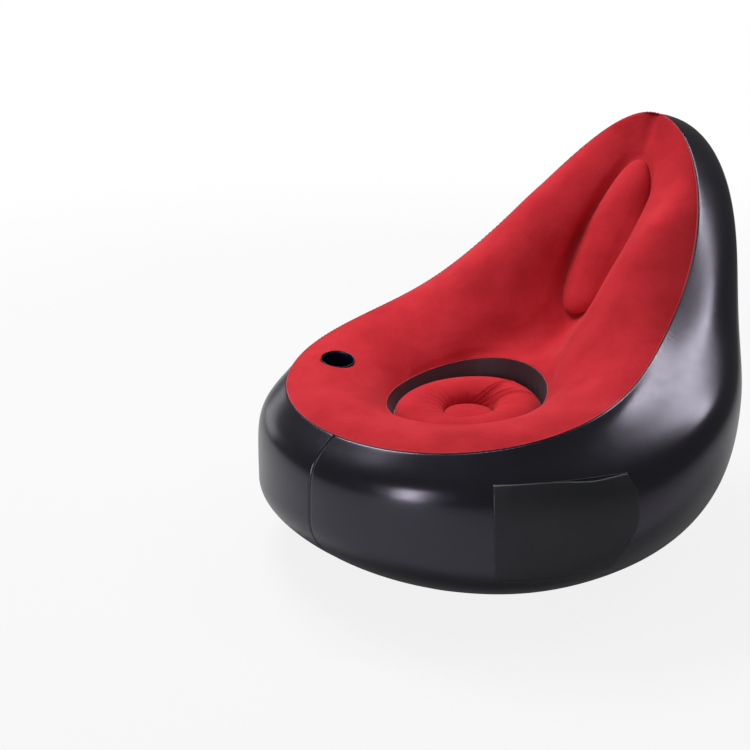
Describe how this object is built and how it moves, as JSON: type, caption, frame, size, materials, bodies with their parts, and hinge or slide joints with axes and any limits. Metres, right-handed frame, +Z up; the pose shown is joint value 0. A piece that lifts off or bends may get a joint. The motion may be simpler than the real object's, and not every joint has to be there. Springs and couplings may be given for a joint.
{
  "type": "inflatable lounge chair",
  "caption": "Inflatable lounge chair with a flocked bowl top on a black sheet wall, a round tufted seat in a well, an oval back cushion, a cup holder and a side pocket.",
  "frame": {"origin": "on the floor, midway between the sides and between the front and the back", "axes": "+Z up, the seat faces -Y, +X is the sitter's left"},
  "size_m": [0.9778, 1.0888, 0.83],
  "materials": {
    "shell_black": "satin vinyl film",
    "flock_red": "flocked velour",
    "well_grey": "dark flocked film",
    "cup_navy": "moulded vinyl with fine ribs",
    "pocket_black": "matte vinyl film",
    "tie_film": "plain vinyl film",
    "valve_black": "moulded soft vinyl"
  },
  "bodies": {
    "chair": {"base_sheet": "shell_black", "wall_left": "shell_black", "wall_right": "shell_black", "top_left": "flock_red", "top_right": "flock_red", "well_wall": "well_grey", "seat_cushion": "flock_red", "seat_button": "flock_red", "back_cushion": "flock_red", "cup_holder": "cup_navy", "pocket_panel": "pocket_black", "pocket_hem": "pocket_black", "button_tie_rear": "tie_film", "button_tie_front": "tie_film", "well_tie_rear_left": "tie_film", "well_tie_front_left": "tie_film", "well_tie_front_right": "tie_film", "well_tie_rear_right": "tie_film", "back_tie_left": "tie_film", "back_tie_right": "tie_film", "valve_flange": "valve_black"},
    "valve_stem": {"valve_stem": "valve_black"},
    "valve_plug": {"valve_plug": "valve_black"},
    "valve_flap": {"valve_flap": "valve_black"}
  },
  "joints": [
    {"name": "valve_stem_slide", "type": "slide", "parent": "chair", "child": "valve_stem", "axis": [-0.9397, 0.342, 0], "range_m": [0, 0.0115]},
    {"name": "valve_plug_hinge", "type": "hinge", "parent": "valve_stem", "child": "valve_plug", "pos_m": [-0.46803, 0.13131, 0.3249], "axis": [0.342, 0.9397, 0], "range_deg": [0, 150]},
    {"name": "valve_flap_hinge", "type": "hinge", "parent": "valve_stem", "child": "valve_flap", "pos_m": [-0.43382, 0.11886, 0.3251], "axis": [-0.342, -0.9397, 0], "range_deg": [0, 60]}
  ]
}
